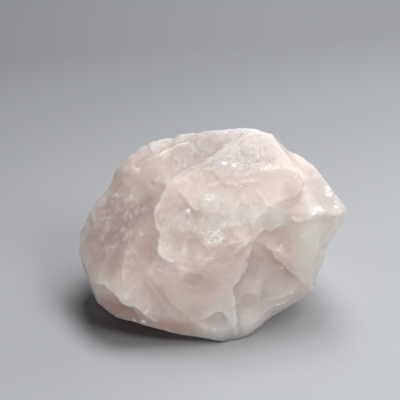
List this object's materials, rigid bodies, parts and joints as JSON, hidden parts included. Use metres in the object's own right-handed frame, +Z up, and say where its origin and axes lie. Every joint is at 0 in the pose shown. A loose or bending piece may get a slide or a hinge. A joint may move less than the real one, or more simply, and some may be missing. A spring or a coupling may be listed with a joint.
{
  "type": "rough morganite crystal",
  "caption": "Rough, milky pink lump of beryl with broken, shell-hollowed faces; lies flat on its own foot as a specimen or display stone.",
  "frame": {"origin": "on the flat foot, under the middle of the lump", "axes": "+X towards the paler right end, along the length; +Y towards the back; +Z up from the foot"},
  "size_m": [0.0597, 0.0389, 0.0348],
  "materials": {
    "crystal": "milky, faintly see-through pink beryl, satin to glossy on broken faces"
  },
  "bodies": {
    "root": {"crystal": "crystal"}
  },
  "joints": []
}
